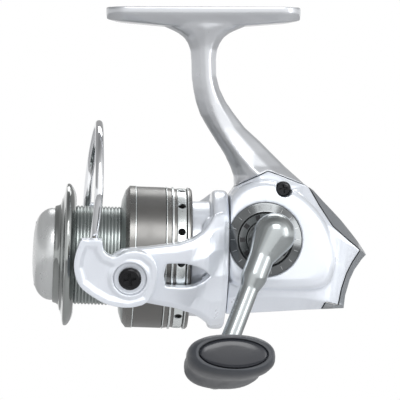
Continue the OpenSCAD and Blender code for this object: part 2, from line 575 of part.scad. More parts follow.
module drag_knob() color("silver") on_shaft() {
        turned(96) polygon(concat([[5.2, -62.4], [11, -62.4], [11, -61.6], [13.4, -61.6], [13.9, -62.2],
            [drag_r, -63], [drag_r, -64.2]],
            arc([-2.75, -64.2], 16.9, 0, -8, 3),
            [[13.2, -66.4], [12.2, -67.4], [10.6, -68.5], [8, -69.5], [4.4, -70.1], [0, -70.3],
                [0, -66.6], [5.2, -66.6]]));
        intersection() {
            translate([-71.6, -2.2, -11]) cube([5, 4.4, 22]);
            turned(64) polygon([[0, -67], [10.4, -67], [10.2, -68.4], [8.6, -69.9], [5.4, -70.6],
                [0, -70.8]]);
        }
}
module drag_spring() color("silver") on_shaft() skin([for (i = [0:44]) let (t = i * 24)
    [for (k = [0:5]) let (c = k * 60, r = 4.6 + 0.32 * cos(c))
        [-65.6 + i * 0.062 + 0.32 * sin(c), r * cos(t), r * sin(t)]]], flip = true);
module drag_nut() color("goldenrod") on_shaft() difference() {
    translate([-66.3, 0, 0]) rotate([0, 90, 0]) linear_extrude(2.4) hexagon(5.4);
    rod_x(-68, -60, shaft_r + fit);
}

// ---------- rotor ----------

// Arms: half height, outer face and outer radius along X.
function arm_half(x) = x < -pivot_x ? sqrt(max(0.4, 64 - pow(x + pivot_x, 2)))
    : lookup(x, [[-pivot_x, 8], [-36, 8.5], [-27, 9.9], [-22.6, 11.3], [-20, 12.8], [-18, 14.4],
        [-16.6, 16.2], [-15.6, 17.6], [-10, 18]]);
function arm_face(x) = lookup(x, [[-51, arm_out - 0.5], [-46, arm_out], [-20, arm_out], [-17, 25.4],
    [-14.5, 24.2], [-12.6, 22.6], [-11.05, 20.8]]);
function arm_reach(x) = lookup(x, [[-50, 30], [-30, 29], [-23, 27.6], [-18, 25.8], [-15, 24],
    [-12.6, 22.4], [-11.05, 20.6]]);
arm_x = concat([for (a = [80:-20:20]) -pivot_x - 8 * sin(a)],
    [-pivot_x, -39, -36, -31, -27, -24.5, -22.6, -20.6, -19.4, -18.6,
    -17.4, -16.4, -15.6, -14.2, -12.6, -11.05]);
// Ring of the arm on the -Y side; its inner side follows a cylinder.
function arm_ring(x) = let (h = arm_half(x), o = arm_face(x), far = arm_reach(x),
    r_in = x < -19 ? arm_in : 17.2,
        hi = min(h - 0.15, r_in * 0.9), lip = sqrt(r_in * r_in - hi * hi))
    concat([for (k = [-1, -0.97, -0.8, -0.45, 0, 0.45, 0.8, 0.97, 1]) let (z = k * h,
        cut = abs(k) == 1 ? 1.7 : abs(k) == 0.97 ? 0.8 : 0)
            [x, -max(min(o - 0.3 * k * k, sqrt(max(1, far * far - z * z))) - cut,
                lip + 0.25 - 0.1 * abs(k)), z]],
        [for (k = [0:8]) let (s = asin(hi / r_in) * (1 - k / 4)) [x, -r_in * cos(s), r_in * sin(s)]]);
module rotor_arm() skin([for (x = arm_x) arm_ring(x)], flip = true);
module bullet_window() translate([0, -16, 0.6]) rotate([90, 0, 0]) linear_extrude(14)
    polygon(concat([[-30, 3.5], [-30.6, 0], [-30, -3.5]], arc([-25.5, 8.9], 12.6, -91, -47, 6),
        [[-16, 0.05]],
                   arc([-25.5, -8.9], 12.6, 47, 91, 6)));
pocket_x = -39.6;                 // front of the pocket on the inner side of each arm
pocket_len = 8;
module arm_pocket() translate([pocket_x, -24.9, -5.2]) cube([pocket_len, 4, 10.4]);
module rotor() color("ghostwhite") on_rotor() difference() {
    union() {
        turned(96) polygon([[2.97, -25], [9, -25], [17.6, -22.4], [17.8, -16.4], [19.4, -16.2],
            [20.4, -16], [21.1, -15.4],
            [rim_r, -14.4], [rim_r, -12.4], [21.1, -11.5], [20.4, -11.02], [19.8, -11.02], [19.4, -12],
                [16.4, -14], [16.2, -20.8],
            [8.8, -22.2], [2.97, -22.2]]);
        one_mesh() difference() {
            union() {
                rotor_arm();
                rotate([180, 0, 0]) rotor_arm();
            }
            for (s = [0, 180]) rotate([s, 0, 0]) {
                bullet_window();
                arm_pocket();
            }
        }
    }
    translate([-pivot_x, 0, 0]) rod_y(-30, 30, 1.6);
}
function pinion_profile() = [for (i = [0:pinion_teeth - 1]) each
    [for (q = [[pinion_root_r, -0.36], [pinion_root_r, -0.3], [pinion_pitch_r, -0.19],
        [pinion_tip_r, -0.09],
               [pinion_tip_r, 0.09], [pinion_pitch_r, 0.19], [pinion_root_r, 0.3], [pinion_root_r, 0.36]])
        q[0] * [cos((i + q[1]) * 360 / pinion_teeth), sin((i + q[1]) * 360 / pinion_teeth)]]];
pinion_from = -10.5;
pinion_to = -6;
helix = (pinion_to - pinion_from) / pinion_pitch_r * 180 / PI;
module pinion_gear() color("goldenrod") on_shaft() difference() {
    union() {
        rod_x(-25.2, -10.4, 2.95);
        rod_x(-28.6, -25.1, 2.6);
        rod_x(-10.5, -2, 2.2);
        translate([pinion_from, 0, 0]) rotate([0, 90, 0])
            linear_extrude(pinion_to - pinion_from, twist = -helix, slices = 12)
            polygon(pinion_profile());
    }
    rod_x(-30, 0, shaft_r + fit);
}
module rotor_nut() color("silver") on_shaft() difference() {
    union() {
        translate([-28, 0, 0]) rotate([0, 90, 0]) linear_extrude(2.6) hexagon(8);
        ring_x(-25.4, -25.02, 5.6, 3);
    }
    rod_x(-30, -20, 2.62);
}
// Thin plate that closes a pocket on the inner side of an arm.
module pocket_cover() translate([pocket_x + 0.1, -23.1, -5.1]) cube([pocket_len - 0.2, 0.6, 10.2]);
module near_arm_cover() color("gray") on_rotor() pocket_cover();
module far_arm_cover() color("gray") on_rotor() rotate([180, 0, 0]) pocket_cover();
module bail_spring() color("silver") on_rotor() translate([pocket_x + 1.4, -24, -4.4])
    skin([for (i = [0:60]) let (a = i * 40, c = [0.62 * cos(a), 0.62 * sin(a), i * 0.11])
        [for (k = [0:5]) c + 0.17 * cos(k * 60) * [cos(a), sin(a),
            0] + 0.17 * sin(k * 60) * [0, 0, 1]]], flip = true);
module trip_lever() color("silver") on_rotor() translate([pocket_x, -23.6, 0]) rotate([90, 0, 0])
    linear_extrude(0.8)
    polygon([[3, -4.6], [7.6, -4.6], [7.6, -2.8], [5.4, -2.2], [5, 4.4], [3.4, 4.4], [3.4, -2]]);
module balance_weight() color("dimgray") on_rotor() translate([pocket_x + 0.8, 23.3, -4.9])
    cube([pocket_len - 1.1, 1.4, 9.8]);

// ---------- bail ----------

module on_bail() on_rotor() translate([-pivot_x, 0, 0]) children();
lever_in = 26.35;
lever_out = 30.1;
roller_at = [-11.6, 7.6];
roller_r = 3;
lever_corners = [[8.4, 0], [7.8, 5.6], [3.6, 8.6], [-1.4, 8.4], [-4.6, 6.2], [-7.4, 7.2], [-8.4, 9],
    [-8.6, 11.4], [-9, 11.5],
                 [-14.6, 11.5], [-15, 11.4], [-16.4, 7.4], [-17, 2.8], [-15.4, -2.6], [-11.4, -5.6],
                     [-6.6, -8.2], [0, -9.1], [6.2, -7.2]];
module bail_lever() color("ghostwhite") on_bail() difference() {
    translate([0, -lever_in, 0]) rotate([90, 0, 0]) linear_extrude(lever_out - lever_in)
        polygon(cut_corners(lever_corners, 2));
    translate([0, -lever_out + 1.4, 0]) rotate([90, 0, 0]) cylinder(h = 3, r = 5);
    rod_y(-40, 0, 1.6);
    translate([roller_at[0], 0, roller_at[1]]) rod_y(-lever_in - 1.6, 0, roller_r + 0.35);
    translate([roller_at[0], 0, roller_at[1]]) rod_y(-29, 0, 1);
}
// Loop of the wire in the bail frame: an arch on a flattened oval, nearly upright.
wire_foot = 7.6;                  // height of the loop's two ends
wire_span = 26.9;
wire_inset = 3.6;                 // how far the loop's ends stay inside its span, clear of the roller
near_foot_x = -11.5;
far_foot_x = -13;
loop_top_x = -10.3;
function near_leg_x(s) = near_foot_x + (loop_top_x - near_foot_x) * s + 3.4 * s * (1 - s);
function far_leg_x(s) = far_foot_x + (loop_top_x - far_foot_x) * s - 2 * s * (1 - s);
function loop_point(t) = let (s = power_round(sin(t), 2.5), c = power_round(cos(t), 2.5),
        q = min(1, max(0, (s - 0.15) / 0.45)), span = wire_span - wire_inset * (1 - q * q * (3 - 2 * q)))
    [near_leg_x(s) * (1 + c) / 2 + far_leg_x(s) * (1 - c) / 2, -span * c,
        wire_foot + (bail_h - wire_foot) * s];
function unit(v) = v / norm(v);
function tube_ring(p, t, r, n) = let (a = unit(cross(t, [1, 0.02, 0])), b = cross(t, a))
    [for (k = [0:n - 1]) let (q = 360 * k / n) p + r * (cos(q) * a + sin(q) * b)];
loop_steps = 40;
function loop_t(i) = 180 * i / loop_steps;
module bail_wire() color("silver") on_bail() skin([for (i = [0:loop_steps])
    let (t = loop_t(i), d = unit(loop_point(min(180, t + 1)) - loop_point(max(0, t - 1))))
    tube_ring(loop_point(t), d, wire_d / 2, 12)]);
holder_corners = [[7.8, 0], [7.2, 5.2], [3.2, 7.8], [-1.6, 7.6], [-5, 6.6], [-8.2, 9.2], [-10, 10.6],
    [-13.6, 10.4], [-15, 7.4],
                  [-13.6, 3.4], [-9, -1.6], [-6.6, -5], [-3, -8], [4, -7.6]];
module bail_holder() color("ghostwhite") on_bail() difference() {
    union() {
        translate([0, 29.2, 0]) rotate([90, 0, 0]) linear_extrude(29.2 - lever_in)
            polygon(cut_corners(holder_corners, 2));
        translate([far_foot_x, 0, wire_foot]) rod_y(22.4, lever_in + 1, 1.9);
    }
    translate([0, 27.7, 0]) rod_y(0, 3, 4.8);
    rod_y(0, 40, 1.6);
}
module bail_screws() color([0.16, 0.16, 0.17]) on_bail() {
    translate([0, -lever_out + 1.38, 0]) rotate([90, 0, 0]) phillips_screw(3.4, 1.8, 1.55, 4.9);
    translate([0, 27.75, 0]) rotate([-90, 0, 0]) phillips_screw(3.4, 1.8, 1.55, 4.2);
}
module roller_screw() color("silver") on_bail() translate([roller_at[0], 0, roller_at[1]]) {
    rod_y(-28.9, -23.2, 0.98);
    rod_y(-24.7, -22.5, 2.5);
}
module line_roller() color("gold") on_bail() translate([roller_at[0], 0, roller_at[1]]) rotate([90, 0, 0])
    rotate_extrude($fn = 64) polygon([[1.6, 24.9], [roller_r - 0.2, 24.9], [roller_r, 25.1],
        [roller_r - 0.6, 25.8], [roller_r - 0.6, 26.8],
                                      [roller_r, 27.5], [roller_r - 0.2, 27.7], [1.6, 27.7]]);
module roller_bush() color("ivory") on_bail() translate([roller_at[0], 0, roller_at[1]]) rotate([90, 0, 0])
    ring_z(24.9, 27.7, 1.6, 1.04);

body_frame();
side_cover();
rear_trim();
cover_screws();
handle_bezel();
drive_bearing_near();
drive_bearing_far();
pinion_bearing();
pinion_bush();
one_way_clutch();
bearing_retainer();
guide_rail();
drive_gear();
handle_shaft();
crank();
knob_post();
shaft_cap();
knob_grip();
knob_cap();
oscillation_gear();
main_shaft();
oscillation_slider();
slider_screw();
spool();
spool_lip();
skirt_band();
skirt_ring();
drag_washers();
drag_retainer();
click_gear();
drag_knob();
drag_spring();
drag_nut();
rotor();
pinion_gear();
rotor_nut();
near_arm_cover();
far_arm_cover();
bail_spring();
trip_lever();
balance_weight();
bail_lever();
bail_wire();
bail_holder();
bail_screws();
roller_screw();
line_roller();
roller_bush();
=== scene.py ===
"""Looks of the spinning reel: materials, rounded edges, finer pieces, studio and camera."""
import bpy
import bmesh
import json
import math
from mathutils import Matrix, Vector


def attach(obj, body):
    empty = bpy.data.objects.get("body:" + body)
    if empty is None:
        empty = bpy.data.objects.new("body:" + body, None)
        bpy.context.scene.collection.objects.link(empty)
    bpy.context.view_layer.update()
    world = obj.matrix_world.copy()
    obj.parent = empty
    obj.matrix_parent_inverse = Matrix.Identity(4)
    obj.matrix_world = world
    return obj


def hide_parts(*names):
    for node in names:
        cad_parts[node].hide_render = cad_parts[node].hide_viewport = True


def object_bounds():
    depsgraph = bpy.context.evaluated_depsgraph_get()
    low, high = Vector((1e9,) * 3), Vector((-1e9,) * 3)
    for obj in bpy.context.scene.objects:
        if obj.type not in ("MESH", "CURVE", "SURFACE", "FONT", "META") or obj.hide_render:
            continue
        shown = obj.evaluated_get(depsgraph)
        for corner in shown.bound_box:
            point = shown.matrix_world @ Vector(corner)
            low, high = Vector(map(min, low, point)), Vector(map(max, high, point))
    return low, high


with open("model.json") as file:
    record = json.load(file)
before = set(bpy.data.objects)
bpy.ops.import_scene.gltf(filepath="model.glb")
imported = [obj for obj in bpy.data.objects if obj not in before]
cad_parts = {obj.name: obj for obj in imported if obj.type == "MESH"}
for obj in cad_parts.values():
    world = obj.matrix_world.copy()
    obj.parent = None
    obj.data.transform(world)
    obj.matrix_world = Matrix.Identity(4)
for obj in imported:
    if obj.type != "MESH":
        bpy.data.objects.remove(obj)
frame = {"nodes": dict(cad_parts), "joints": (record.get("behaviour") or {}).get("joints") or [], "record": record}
cad_low, cad_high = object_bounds()
nodes = frame["nodes"]
joints = {j["name"]: j for j in frame["joints"]}
bodies = frame["record"]["behaviour"]["bodies"]
body_of = {node: body for body, names in bodies.items() for node in names}
scene = bpy.context.scene
MM = 0.001
FLOOR_DROP = 0.3                  # from the lowest point to the floor
FLOOR_REACH = 2.5                 # half the width of the floor
WELD_GAP = 0.000002               # vertices nearer than this are one
FLAT_ANGLE = 0.6                  # degrees below which two faces are one flat face
EDGE_ANGLE = 32                   # degrees above which an edge is broken
SMOOTH_ANGLE = 40                 # degrees above which an edge is shaded sharp


# ---------- places taken from the frame ----------

def frame_at(joint, x_axis, y_axis):
    """Matrix of a right-handed frame at a joint, in millimetres."""
    z_axis = x_axis.cross(y_axis)
    turn = Matrix((x_axis, y_axis, z_axis)).transposed().to_4x4()
    return Matrix.Translation(Vector(joints[joint]["pos_m"])) @ turn @ Matrix.Scale(MM, 4)


shaft_axis = Vector(joints["rotor_spin"]["axis"]).normalized()
side_axis = -Vector(joints["bail_flip"]["axis"]).normalized()
shaft_frame = frame_at("rotor_spin", shaft_axis, Vector((0, 1, 0)))
bail_frame = frame_at("bail_flip", shaft_axis, side_axis)
dial_frame = frame_at("handle_spin", Vector((0, -1, 0)), Vector((1, 0, 0)))


# ---------- materials ----------

class Nodes:
    """Small helper that adds and links shader nodes."""

    def __init__(self, name):
        self.material = bpy.data.materials.new(name)
        self.material.use_nodes = True
        self.tree = self.material.node_tree
        self.shader = self.tree.nodes["Principled BSDF"]
        self.place = self.add("ShaderNodeTexCoord").outputs["Object"]

    def add(self, kind, **settings):
        node = self.tree.nodes.new(kind)
        for key, value in settings.items():
            setattr(node, key, value)
        return node

    def link(self, output, target):
        self.tree.links.new(output, target)

    def noise(self, scale, detail=3.0, stretch=(1, 1, 1)):
        mapping = self.add("ShaderNodeMapping")
        mapping.inputs["Scale"].default_value = stretch
        self.link(self.place, mapping.inputs["Vector"])
        node = self.add("ShaderNodeTexNoise")
        node.inputs["Scale"].default_value = scale
        node.inputs["Detail"].default_value = detail
        self.link(mapping.outputs["Vector"], node.inputs["Vector"])
        return node.outputs["Fac"]

    def span(self, value, low, high, start=0.3, end=0.7):
        node = self.add("ShaderNodeMapRange")
        node.inputs["From Min"].default_value = start
        node.inputs["From Max"].default_value = end
        node.inputs["To Min"].default_value = low
        node.inputs["To Max"].default_value = high
        self.link(value, node.inputs["Value"])
        return node.outputs["Result"]

    def mix(self, factor, first, second):
        node = self.add("ShaderNodeMix", data_type="RGBA")
        self.link(factor, node.inputs["Factor"])
        for value, socket in ((first, node.inputs["A"]), (second, node.inputs["B"])):
            if isinstance(value, tuple):
                socket.default_value = (*value, 1)
            else:
                self.link(value, socket)
        return node.outputs["Result"]

    def bump(self, height, strength, distance):
        node = self.add("ShaderNodeBump")
        node.inputs["Strength"].default_value = strength
        node.inputs["Distance"].default_value = distance
        self.link(height, node.inputs["Height"])
        return node.outputs["Normal"]

    def edge(self, low=0.56, high=0.68):
        geometry = self.add("ShaderNodeNewGeometry")
        return self.span(geometry.outputs["Pointiness"], 0, 1, low, high)


def shade(colour, factor):
    return tuple(min(1.0, c * factor) for c in colour)


def finish_material(name, colour, metallic, rough, vary=0.08, patch=120, grain=2600,
                    grain_depth=0.00001, grain_strength=0.2, stretch=(1, 1, 1), wear=None,
                    wear_amount=0.5, coat=0.0, coat_rough=0.1, flake=0.0, sheen=0.0, specular=0.5):
    """Procedural finish: patchy tone, grain in bump and roughness, flakes, worn edges."""
    n = Nodes(name)
    tone = n.mix(n.span(n.noise(patch), 0, 1), shade(colour, 1 - vary), shade(colour, 1 + vary))
    fine = n.noise(grain, 4.0, stretch)
    if flake:
        tone = n.mix(n.span(fine, 0, 1, 0.55, 0.75), tone, shade(colour, 1 + flake))
    if wear:
        tone = n.mix(n.span(n.edge(), 0, wear_amount, 0, 1), tone, wear)
    n.link(tone, n.shader.inputs["Base Color"])
    n.link(n.span(n.noise(patch * 2.3), rough * 0.85, rough * 1.15), n.shader.inputs["Roughness"])
    n.link(n.bump(fine, grain_strength, grain_depth), n.shader.inputs["Normal"])
    n.shader.inputs["Metallic"].default_value = metallic
    n.shader.inputs["Coat Weight"].default_value = coat
    n.shader.inputs["Coat Roughness"].default_value = coat_rough
    n.shader.inputs["Sheen Weight"].default_value = sheen
    n.shader.inputs["Specular IOR Level"].default_value = specular
    return n.material


ALONG = (0.05, 1, 1)              # grain drawn out along the shaft
AROUND = (1, 0.05, 0.05)          # grain drawn out across the shaft

pearl = finish_material("pearl_silver", (0.82, 0.86, 0.93), 0.5, 0.32, vary=0.03, patch=60, grain=9000,
                        flake=0.12, grain_strength=0.08, coat=0.7, coat_rough=0.08)
stem_paint = finish_material("frame_silver", (0.53, 0.545, 0.57), 0.7, 0.32, vary=0.03, patch=50, grain=9000,
                             flake=0.12, grain_strength=0.08, coat=0.6, coat_rough=0.1)
gunmetal = finish_material("gunmetal", (0.28, 0.30, 0.32), 0.75, 0.30, vary=0.06, grain=8000, flake=0.2,
                           coat=0.5, wear=(0.35, 0.37, 0.4))
dial_metal = finish_material("dial_metal", (0.16, 0.168, 0.172), 0.95, 0.2, vary=0.07, grain=5000,
                             grain_strength=0.12, wear=(0.7, 0.72, 0.73), wear_amount=0.6)
# Near-black steel of the screws; the same material on the plates in the dial's windows is painted shade.
black_steel = finish_material("black_steel", (0.018, 0.018, 0.02), 0.7, 0.28, vary=0.2, grain=7000,
                              wear=(0.25, 0.25, 0.26), wear_amount=0.5)
chrome = finish_material("chrome", (0.74, 0.75, 0.77), 1.0, 0.07, vary=0.02, patch=80, grain=3000,
                         grain_strength=0.03)
satin = finish_material("satin_aluminium", (0.62, 0.635, 0.64), 0.6, 0.3, vary=0.03, patch=90, grain=2600,
                        grain_strength=0.015)
spool_metal = finish_material("spool_grey", (0.34, 0.37, 0.365), 0.85, 0.3, vary=0.04, patch=90, grain=3200,
                              stretch=AROUND, grain_strength=0.02)
lip_metal = finish_material("lip_steel", (0.34, 0.355, 0.35), 1.0, 0.12, vary=0.04, patch=90, grain=3000,
                            stretch=AROUND, grain_strength=0.015)
band_metal = finish_material("band_grey", (0.17, 0.168, 0.163), 0.75, 0.33, vary=0.05, patch=90,
                             grain=3000, stretch=AROUND, grain_strength=0.2)
ring_metal = finish_material("ring_light", (0.78, 0.82, 0.82), 0.9, 0.28, vary=0.04, grain=3200,
                             stretch=AROUND, grain_strength=0.12, wear=(0.8, 0.82, 0.82))
crank_metal = finish_material("crank_satin", (0.37, 0.395, 0.40), 0.95, 0.24, vary=0.03, patch=110,
                              grain=2600, grain_strength=0.015)
rubber = finish_material("rubber_charcoal", (0.036, 0.041, 0.050), 0.0, 0.46, vary=0.14, patch=160,
                         grain=4200, grain_depth=0.00004, grain_strength=0.35, sheen=0.15,
                         coat=0.08, coat_rough=0.35, wear=(0.09, 0.095, 0.105), wear_amount=0.5)
cap_gloss = finish_material("cap_gloss", (0.010, 0.012, 0.018), 0.0, 0.24, vary=0.2, patch=90, grain=3000,
                            grain_strength=0.04, coat=0.25, coat_rough=0.08)
brass = finish_material("brass", (0.62, 0.42, 0.16), 1.0, 0.26, vary=0.07, grain=3000, stretch=AROUND)
skirt_metal = finish_material("skirt_grey", (0.20, 0.198, 0.192), 0.85, 0.27, vary=0.04, patch=90, grain=3200,
                              stretch=AROUND, grain_strength=0.06)
zinc = finish_material("zinc", (0.42, 0.41, 0.38), 0.9, 0.38, vary=0.1, grain=3000)
nylon = finish_material("nylon", (0.72, 0.70, 0.63), 0.0, 0.42, vary=0.05, grain=3000, specular=0.4)
steel = finish_material("steel", (0.52, 0.53, 0.54), 1.0, 0.24, vary=0.05, grain=3600, stretch=ALONG)
gold = finish_material("roller_gold", (0.70, 0.52, 0.24), 1.0, 0.14, vary=0.05, grain=3000)
felt = finish_material("drag_disc", (0.32, 0.23, 0.13), 0.0, 0.85, vary=0.2, patch=900, grain=5000,
                       grain_depth=0.0001, grain_strength=0.7, sheen=0.4)
plate = finish_material("arm_plate", (0.38, 0.40, 0.43), 0.0, 0.45, vary=0.06, grain=4000)
weight = finish_material("weight_dark", (0.06, 0.06, 0.065), 0.4, 0.6, vary=0.15, grain=2500,
                         grain_depth=0.00005, grain_strength=0.6)

# Finish of each carried-over CAD node, with the radius of its broken edges in millimetres.
LOOKS = {
    "body_frame": (stem_paint, 0.35), "side_cover": (pearl, 0.3), "rear_trim": (gunmetal, 0.25),
    "cover_screws": (black_steel, 0.12), "handle_bezel": (dial_metal, 0.06), "drive_bearing_near": (steel, 0),
    "drive_bearing_far": (steel, 0), "pinion_bearing": (steel, 0), "pinion_bush": (brass, 0),
    "one_way_clutch": (steel, 0), "bearing_retainer": (steel, 0.05), "guide_rail": (steel, 0.1),
    "drive_gear": (zinc, 0), "handle_shaft": (steel, 0.08), "crank": (crank_metal, 0.35),
    "knob_post": (steel, 0.15), "shaft_cap": (satin, 0.25), "knob_grip": (rubber, 0.3),
    "knob_cap": (cap_gloss, 0), "oscillation_gear": (nylon, 0), "main_shaft": (steel, 0.1),
    "oscillation_slider": (nylon, 0.15), "slider_screw": (steel, 0.05), "spool": (spool_metal, 0.12),
    "spool_lip": (lip_metal, 0.15), "skirt_band": (band_metal, 0.1), "skirt_ring": (ring_metal, 0.05),
    "drag_washers": (felt, 0), "drag_retainer": (steel, 0), "click_gear": (nylon, 0),
    "drag_knob": (satin, 0.35), "drag_spring": (steel, 0), "drag_nut": (brass, 0.08),
    "rotor": (pearl, 0.4), "pinion_gear": (brass, 0), "rotor_nut": (steel, 0.15),
    "near_arm_cover": (plate, 0.1), "far_arm_cover": (plate, 0.1), "bail_spring": (steel, 0),
    "trip_lever": (steel, 0.05), "balance_weight": (weight, 0.1), "bail_lever": (pearl, 0.9),
    "bail_wire": (chrome, 0), "bail_holder": (pearl, 0.8), "bail_screws": (black_steel, 0.15),
    "roller_screw": (steel, 0.15), "line_roller": (gold, 0.1), "roller_bush": (nylon, 0),
}


def smooth(piece, angle):
    """Smooth shading, with edges sharper than the angle kept."""
    for polygon in piece.data.polygons:
        polygon.use_smooth = True
    bpy.context.view_layer.objects.active = piece
    piece.select_set(True)
    bpy.ops.object.shade_smooth_by_angle(angle=math.radians(angle))
    piece.select_set(False)


def dress(name, material, edge):
    """Material and softened edges of a CAD node."""
    piece = nodes[name]
    piece.data.materials.clear()
    piece.data.materials.append(material)
    weld = piece.modifiers.new("weld", "WELD")
    weld.merge_threshold = WELD_GAP
    if edge:
        flat = piece.modifiers.new("flat", "DECIMATE")
        flat.decimate_type = "DISSOLVE"
        flat.angle_limit = math.radians(FLAT_ANGLE)
        bevel = piece.modifiers.new("edge", "BEVEL")
        bevel.width = edge * MM
        bevel.segments = 3
        bevel.limit_method = "ANGLE"
        bevel.angle_limit = math.radians(EDGE_ANGLE)
        bevel.harden_normals = False
    normals = piece.modifiers.new("normals", "WEIGHTED_NORMAL")
    normals.keep_sharp = False
    smooth(piece, SMOOTH_ANGLE)


for node_name, (material, edge) in LOOKS.items():
    dress(node_name, material, edge)


# ---------- finer pieces ----------

def final_mesh(piece):
    """The piece's mesh with its modifiers applied."""
    graph = bpy.context.evaluated_depsgraph_get()
    mesh = bpy.data.meshes.new_from_object(piece.evaluated_get(graph))
    piece.modifiers.clear()
    piece.data = mesh
    return mesh


def stand_in(piece, name):
    """Puts a piece in place of a CAD node, on the node's own body."""
    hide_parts(name)
    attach(piece, body_of[name])


def two_tone_spool():
    """Gives the faces of the spool's skirt the plainer of its two greys."""
    spool = nodes["spool"]
    spool.data.materials.append(skirt_metal)
    inward = shaft_frame.inverted()
    for polygon in spool.data.polygons:
        if (inward @ polygon.center).x > SKIRT_FROM:
            polygon.material_index = 1


def moulded(name, material, voxel=0.3, rounds=6, keep=0.35, sculpt=None):
    """Cast or moulded copy of a CAD node: remeshed and relaxed, so that its edges turn softly."""
    piece = bpy.data.objects.new(name + "_cast", nodes[name].data.copy())
    scene.collection.objects.link(piece)
    remesh = piece.modifiers.new("remesh", "REMESH")
    remesh.mode = "VOXEL"
    remesh.voxel_size = voxel * MM
    relax = piece.modifiers.new("relax", "SMOOTH")
    relax.factor = 0.5
    relax.iterations = rounds
    final_mesh(piece)
    if sculpt:
        sculpt(piece.data)
    thin = piece.modifiers.new("thin", "DECIMATE")
    thin.ratio = keep
    final_mesh(piece)
    piece.data.materials.clear()
    piece.data.materials.append(material)
    for polygon in piece.data.polygons:
        polygon.use_smooth = True
    stand_in(piece, name)


def smoothstep(value, low, high):
    t = min(1.0, max(0.0, (value - low) / (high - low)))
    return t * t * (3 - 2 * t)


def edge_distance(x, z, corners):
    """Distance in the plane from a point to a closed outline."""
    point = Vector((x, z))
    best = math.inf
    for start, end in zip(corners, corners[1:] + corners[:1]):
        a, b = Vector(start), Vector(end)
        t = min(1.0, max(0.0, (point - a).dot(b - a) / (b - a).length_squared))
        best = min(best, (point - a.lerp(b, t)).length)
    return best


# Outline of the bail lever in the bail's frame, along the shaft and across it.
LEVER_OUTLINE = [(8.4, 0), (7.8, 5.6), (3.6, 8.6), (-1.4, 8.4), (-4.6, 6.2), (-7.4, 7.2), (-8.4, 9),
                 (-8.6, 11.4), (-14.8, 11.5), (-16.4, 7.4), (-17, 2.8), (-15.4, -2.6), (-11.4, -5.6),
                 (-6.6, -8.2), (0, -9.1), (6.2, -7.2)]
LEVER_BAND = (1.3, 3.2)           # where the dish starts and ends, in from the edge
LEVER_DISH = 0.7                  # depth of the dish
LEVER_RING = (5.4, 7.0)           # ring round the screw that stays raised
LEVER_FACE = (2.4, 0.6)           # depth from the outer face at which the dish fades out and is full

# The bail's loop, in the bail's frame: its feet and top along the shaft, then heights, span and radius.
NEAR_FOOT, FAR_FOOT, LOOP_TOP = -11.5, -13, -10.3
WIRE_FOOT, BAIL_HEIGHT, WIRE_SPAN, WIRE_INSET, WIRE_R = 7.6, 40.2, 26.9, 3.6, 1.3
LOOP_SQUARE = 0.8                 # power that squares the arch off: 1 is an ellipse
LOOP_STEP = 0.005                 # step in radians used to find the loop's direction
NEAR_BOW, FAR_BOW = 3.4, -2       # how far each leg bows along the shaft
LEG_REACH = (0.15, 0.6)           # heights, as shares, between which a leg moves out to the full span

SKIRT_FROM = -42.4                # where the spool's skirt starts along the shaft


def dish_lever(mesh):
    """Hollows the lever's outer face inside a raised edge and round a raised ring."""
    inward = bail_frame.inverted()
    places = [inward @ v.co for v in mesh.vertices]
    outer = min(p.y for p in places)
    for vertex, place in zip(mesh.vertices, places):
        face = smoothstep(place.y - outer, *LEVER_FACE)
        if face <= 0:
            continue
        inside = smoothstep(edge_distance(place.x, place.z, LEVER_OUTLINE), *LEVER_BAND)
        away = smoothstep(math.hypot(place.x, place.z), *LEVER_RING)
        place.y += LEVER_DISH * face * inside * away
        vertex.co = bail_frame @ place


def loop_point(turn):
    """Point on the bail's loop in the bail's frame, from the near leg at 0 to the far leg at pi."""
    across = math.copysign(abs(math.cos(turn)) ** LOOP_SQUARE, math.cos(turn))
    up = max(0.0, math.sin(turn)) ** LOOP_SQUARE
    near = NEAR_FOOT + (LOOP_TOP - NEAR_FOOT) * up + NEAR_BOW * up * (1 - up)
    far = FAR_FOOT + (LOOP_TOP - FAR_FOOT) * up + FAR_BOW * up * (1 - up)
    span = WIRE_SPAN - WIRE_INSET * (1 - smoothstep(up, *LEG_REACH))
    along = near * (1 + across) / 2 + far * (1 - across) / 2
    return Vector((along, -span * across, WIRE_FOOT + (BAIL_HEIGHT - WIRE_FOOT) * up))


def bail_loop(steps=240, sides=24):
    """Round polished wire along the bail's loop."""
    tube = bmesh.new()
    rings = []
    for step in range(steps + 1):
        turn = math.pi * step / steps
        before = loop_point(max(0, turn - LOOP_STEP))
        after = loop_point(min(math.pi, turn + LOOP_STEP))
        along = (after - before).normalized()
        first = along.cross(Vector((1, 0, 0))).normalized()
        second = along.cross(first)
        centre = loop_point(turn)
        ring = []
        for side in range(sides):
            angle = 2 * math.pi * side / sides
            outward = math.cos(angle) * first + math.sin(angle) * second
            ring.append(tube.verts.new(bail_frame @ (centre + WIRE_R * outward)))
        rings.append(ring)
    for ring, following in zip(rings, rings[1:]):
        for i in range(sides):
            j = (i + 1) % sides
            tube.faces.new((ring[i], ring[j], following[j], following[i]))
    for end in (rings[0], rings[-1]):
        tube.faces.new(end)
    bmesh.ops.recalc_face_normals(tube, faces=tube.faces)
    mesh = bpy.data.meshes.new("bail_loop")
    tube.to_mesh(mesh)
    tube.free()
    piece = bpy.data.objects.new("bail_loop", mesh)
    scene.collection.objects.link(piece)
    mesh.materials.append(chrome)
    smooth(piece, 50)
    stand_in(piece, "bail_wire")


